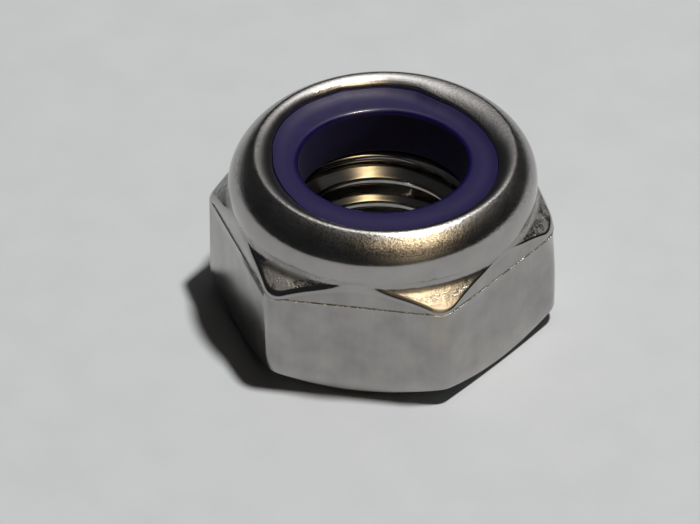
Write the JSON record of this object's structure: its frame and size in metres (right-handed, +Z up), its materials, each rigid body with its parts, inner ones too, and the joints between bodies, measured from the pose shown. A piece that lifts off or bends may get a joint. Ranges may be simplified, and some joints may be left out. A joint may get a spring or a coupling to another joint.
{
  "type": "nylon insert lock nut",
  "caption": "Hexagon lock nut with a round collar whose rim is rolled in over a dark nylon ring that grips the bolt's thread.",
  "frame": {"origin": "centre of the bearing face, on the thread's axis", "axes": "+Z up along the thread's axis from the bearing face to the rolled rim; two opposite corners of the hexagon on X, two flats square to Y"},
  "size_m": [0.0148, 0.013, 0.008],
  "materials": {
    "steel": "bright cold-formed stainless steel, satin flats, fine grain on the rolled rim",
    "nylon": "dark blue-violet nylon with a soft sheen"
  },
  "bodies": {
    "root": {"nut_body": "steel", "nylon_ring": "nylon"}
  },
  "joints": []
}
